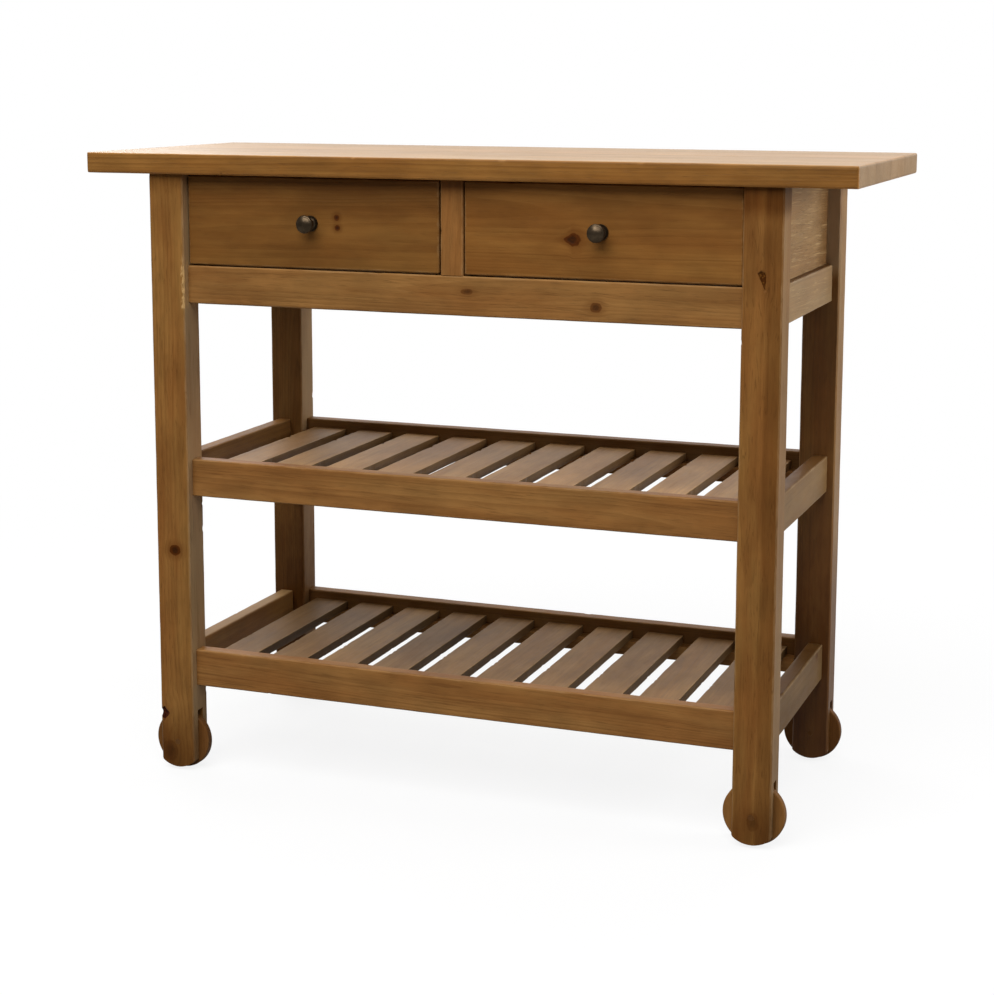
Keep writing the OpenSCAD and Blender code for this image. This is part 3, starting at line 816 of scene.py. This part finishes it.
Board = namedtuple("Board", "grain tones look form", defaults=({}, {}))
BOARDS = {
    # Painted light: pale washes for sheen on the top and the ends, and a high gain; painted shade on the
    # front edge
    "table_top": Board(
        "x", "top",
        dict(ring=4.2, pith=(0, -60), tilt=(4, 9), strips=PLANKS, late=0.4, worn=0.4, rough=0.36, shine=0.12,
             gain=1.7, faces=(Face(Z, 1, 1.4), Face(X, 1, 1.6), Face(X, 1, -0.3), Face(X, -1, 0.6),
                              Face(Y, -1, -0.45))),
        dict(step=22, wear=0.4, chips=8)),
    # Painted light on the side faces and painted shade under the top; the foot is darker towards the floor
    "leg_front_left": Board(
        "z", "leg",
        dict(knots=(Knot(330, -426, 9, 0.95, None, 0.9), Knot(28, -441, 13, 0.35)), hollows=BITE,
             pith=(35, 60), tilt=(9, -6), scratches=-0.3, shine=0.04, scars=(Scar(760, 680, -403.8, 2.4),),
             grime=FEET + (Grime(Z, 110, 50, 0.45), Grime(Z, 830, 868, 0.5)),
             faces=(Face(X, 1, 1.2), Face(X, -1, 0.8))),
        dict(chips=5, hollows=BITE, extra_chips=TORN_EDGE)),
    # Painted light on the side faces and painted shade under the top; the foot is darker towards the floor
    "leg_front_right": Board(
        "z", "leg",
        dict(knots=(Knot(37, 430.7, 8, 0.4, None, 1.6),), hollows=SPLIT, pith=(-8, 46), tilt=(7, -9),
             swathe=Swathe(447, 26, 0.55), scratches=-0.35, shine=0.04,
             grime=FEET + (Grime(Z, 822, 850, 0.8),), faces=SIDES + (Face(X, 1, 0.15),)),
        dict(chips=5, hollows=SPLIT)),
    # Painted light on the side faces; painted shade on the front face and the lower leg
    "leg_back_left": Board(
        "z", "leg",
        dict(knots=(Knot(330, -410, 5, 0.8, X),), grime=BACK_FEET,
             faces=SIDES + (Face(X, 1, 0.3),) + DARK_FRONT)),
    # Painted light on the side faces and on the front face's top part above the rail; painted shade on the
    # rest of the front face and on the lower leg
    "leg_back_right": Board(
        "z", "leg",
        dict(grime=BACK_FEET, shine=0.2, faces=(Face(X, 1, 0.65), Face(X, -1, 0.8), Face(Y, -1, -0.15),
                                                Face(Y, -1, 1.5, (715, 745))))),
    # Painted shade under the top
    "centre_stile": Board("z", "rail", dict(pith=(20, 50), grime=(Grime(Z, 845, 868, 0.6),))),
    "front_rail": Board(
        "x", "rail",
        dict(knots=(Knot(203.6, 707.6, 6.5, 0.7, Z), Knot(21.7, 721.3, 4, 0.6, Z, 2.2)), pith=(-48, 12),
             tilt=(8, 12), scratches=-0.3, gain=0.92)),
    "mid_front_rail": Board("x", "rail", dict(pith=(-55, -18), tilt=(-9, 12), scratches=-0.3)),
    "low_front_rail": Board("x", "rail", dict(pith=(-42, 20), tilt=(5, -16), late=0.5, scratches=-0.3)),
    "back_rail": Board("x", "rail"),
    "mid_back_rail": Board("x", "rail", dict(faces=SHADED_RAIL)),
    "low_back_rail": Board("x", "rail", dict(faces=SHADED_RAIL)),
    # Painted light on both side faces
    "left_rail": Board("y", "rail", dict(faces=SIDES)),
    # Painted light on the side faces, and a low gain: the right-side rails grow darker lower down as painted
    # shade
    "right_rail": Board(
        "y", "rail", dict(faces=SIDES + (Face(X, 1, 0.2),), late=0.5, scratches=0.4, gain=0.58)),
    # Painted shade on the inner face, painted light on the outer one
    "mid_left_rail": Board("y", "rail", dict(faces=(Face(X, 1, -0.35), Face(X, -1, 0.6)))),
    # Painted light on the side faces, with a low gain as painted shade
    "mid_right_rail": Board("y", "rail", dict(faces=(Face(X, 1, 0.6), Face(X, -1, 0.8)), gain=0.58)),
    # Painted shade on the inner face, painted light on the outer face and the top
    "low_left_rail": Board("y", "rail", dict(faces=(Face(X, 1, -0.1), Face(X, -1, 0.6), Face(Z, 1, 0.8)))),
    # Painted light on the outer face, and the lowest gain as painted shade low on the lit side
    "low_right_rail": Board(
        "y", "rail",
        dict(knots=(Knot(120, 174, 5, 0.9, Z),), faces=(Face(X, 1, 0.45),), shine=0.04, gain=0.4)),
    "back_panel": Board("x", "rail", {}, dict(chips=0)),
    # Painted light on both side faces
    "left_panel": Board("y", "rail", dict(late=0.25, flecks=0.12, faces=SIDES), dict(chips=0)),
    # Painted light on the side faces; painted shade towards the back leg
    "right_panel": Board(
        "y", "rail",
        dict(late=0.5, streaks=0.4, flecks=0.3, faces=SIDES, grime=(Grime(Y, 60, 165, 0.75),),
             scratches=0.45, gain=0.72),
        dict(chips=0)),
    "mid_slats": Board("y", "slat", dict(SLATS, shine=0.2, gain=0.99), dict(chips=6)),
    # A lower gain than the middle slats: painted shade on the lower shelf
    "low_slats": Board("y", "slat", dict(SLATS, shine=0.12, gain=0.65), dict(chips=6)),
    "drawer_left_front": Board(
        "x", "drawer",
        dict(knots=(Knot(-169.5, 815.5, 4.4, 0.9, Z, 0.95), Knot(-168.8, 801.5, 4.0, 0.95, Z, 1.05)),
             pith=(-70, -15), tilt=(6, 18), ring=4.2, late=0.25, streaks=0.25, flecks=0.12, grime=UNDER_TOP,
             gain=0.95),
        dict(wear=0.2, chips=2)),
    "drawer_right_front": Board(
        "x", "drawer",
        dict(knots=(Knot(170.2, 795.8, 9.0, 1.0, Z, 1.3, -1),), pith=(-65, 25), tilt=(-6, -14), ring=4.2,
             late=0.3, streaks=0.25, flecks=0.12, grime=UNDER_TOP, gain=1.18),
        dict(wear=0.2, chips=2)),
}
for side in ("left", "right"):
    for board, grain in (("outer_side", "y"), ("inner_side", "y"), ("back", "x")):
        BOARDS[f"drawer_{side}_{board}"] = Board(grain, "inner", {}, dict(step=30, wear=0.2, chips=0))

for node, board in BOARDS.items():
    piece = timber(node, board.grain, **board.form)
    dress(piece, pine(node + "_pine", board.grain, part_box(node), board.tones, **board.look))


# The other pieces, which keep their own meshes

# Each wheel's tones, and how bright they are. The wheel_back tones are painted shade.
WHEELS = {"wheel_front_left": ("wheel_back", 1.0), "wheel_front_right": ("wheel", 1.1),
          "wheel_back_left": ("wheel_back", 1.2), "wheel_back_right": ("wheel_back", 1.2)}
PLUG_BOX = (Vector((-0.5, -0.25, 0)), Vector((0.5, 0.25, 0.1)))
FINISHES = {
    "steel": metal("steel", (0.50, 0.49, 0.47, 1), (0.30, 0.28, 0.26, 1), roughness=0.36, spots=0.12),
    "pewter": metal("pewter", (0.080, 0.056, 0.034, 1), (0.048, 0.033, 0.020, 1), roughness=0.28, spots=0.12),
    "plug_wood": pine("plug_pine", "y", PLUG_BOX, "plug", worn=0.0),
}

for node, obj in NODES.items():
    slot = obj.data.materials[0].name.split(".")[0]
    if slot in FINISHES:
        dress(obj, FINISHES[slot])
    elif slot == "inner_pine" and node not in BOARDS:
        ease(node)
        dress(obj, pine(node + "_pine", "x" if node.endswith("bottom") else "y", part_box(node), "inner"))
    elif node.endswith("_cleats"):
        ease(node, 0.8)
        dress(obj, pine(node + "_pine", "x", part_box(node), "rail"))
    elif node in WHEELS:
        tones, gain = WHEELS[node]
        dress(obj, pine(node + "_pine", "z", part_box(node), tones, worn=0.15, gain=gain))


# Floor, light and camera

FLOOR_REACH = 80  # metres from the middle to each side
# The photograph's viewing angle in degrees and metres, fitted to the table's corners
YAW, PITCH, ROLL = -20.691, -8.618, 0.103
CAMERA_PLACE = (1.013, -2.705, 1.013)
LENS = 73.05
LENS_SHIFT = -0.12


def floor():
    """A floor that looks white but for the table's shadow, and is grey to the light that it throws back."""
    mesh = bpy.data.meshes.new("floor")
    sides = ((-1, -1), (1, -1), (1, 1), (-1, 1))
    mesh.from_pydata([(x * FLOOR_REACH, y * FLOOR_REACH, 0) for x, y in sides], [], [(0, 1, 2, 3)])
    obj = bpy.data.objects.new("floor", mesh)
    bpy.context.scene.collection.objects.link(obj)
    mat = bpy.data.materials.new("floor_paint")
    t = Tree(mat)
    seen, glossy = t.directly_seen()
    far = t.put("VectorMath", {0: t.put("TexCoord", out="Object")}, out="Value", operation="LENGTH")
    paint = t.put("BsdfDiffuse", {0: t.mix(t.sub(seen, t.mul(glossy, 0.9)), grey(0.34), grey(0.92))})
    glow = t.put("Emission", {0: grey(1), 1: 1.0})
    share = t.mul(seen, t.smooth(far, 0.5, 2.2, 0.86, 1.0), t.sub(1.0, t.mul(glossy, 0.8)))
    t.put("OutputMaterial", {0: t.put("MixShader", {0: share, 1: paint, 2: glow})})
    mesh.materials.append(mat)


def world():
    """A white room that lights little, and that glosses show dimmer to the right and at the front."""
    studio = bpy.data.worlds.new("studio")
    bpy.context.scene.world = studio
    t = Tree(studio)
    seen, glossy = t.directly_seen()
    right, back, _ = t.parts(t.put("TexCoord", out="Generated"))
    dim = t.highest(t.smooth(right, -0.1, 0.5, 0.0, 0.55), t.smooth(back, 0.3, -0.5, 0.0, 0.6))
    strength = t.sub(t.add(0.13, t.mul(seen, 0.87)), t.mul(glossy, dim))
    t.put("OutputWorld", {0: t.put("Background", {0: grey(1), 1: strength})})


def lamp(name, place, aim, size, power, glossy=True):
    light = bpy.data.lights.new(name, "AREA")
    light.shape = "RECTANGLE"
    light.size, light.size_y = size
    light.energy = power
    obj = bpy.data.objects.new(name, light)
    bpy.context.scene.collection.objects.link(obj)
    obj.visible_glossy = glossy
    obj.location = place
    obj.rotation_euler = (Vector(aim) - Vector(place)).to_track_quat("-Z", "Y").to_euler()


def camera():
    yaw, pitch, roll = (math.radians(angle) for angle in (YAW, PITCH, ROLL))
    forward = Vector((math.sin(yaw) * math.cos(pitch), math.cos(yaw) * math.cos(pitch), math.sin(pitch)))
    level = Vector((math.cos(yaw), -math.sin(yaw), 0))
    upright = level.cross(forward)
    right = level * math.cos(roll) + upright * math.sin(roll)
    up = upright * math.cos(roll) - level * math.sin(roll)
    cam = bpy.data.cameras.new("camera")
    cam.sensor_width = 36
    cam.lens = LENS
    cam.shift_y = LENS_SHIFT
    obj = bpy.data.objects.new("camera", cam)
    bpy.context.scene.collection.objects.link(obj)
    turn = Matrix((right, up, -forward)).transposed().to_4x4()
    obj.matrix_world = Matrix.Translation(CAMERA_PLACE) @ turn
    bpy.context.scene.camera = obj


floor()
world()
lamp("key", place=(-0.1, -2.3, 3.25), aim=(0, 0, 0.5), size=(3.4, 2.8), power=160)
lamp("side", place=(1.9, 0.25, 1.15), aim=(0.45, 0, 1.75), size=(0.7, 0.7), power=22)
lamp("left", place=(-2.1, 1.5, 2.3), aim=(0, 0, 0.7), size=(1.8, 1.6), power=36)
lamp("back", place=(0.3, 2.6, 1.3), aim=(0, 0, 0.5), size=(2.2, 1.4), power=32, glossy=False)
camera()
bpy.context.scene.view_settings.view_transform = "Standard"
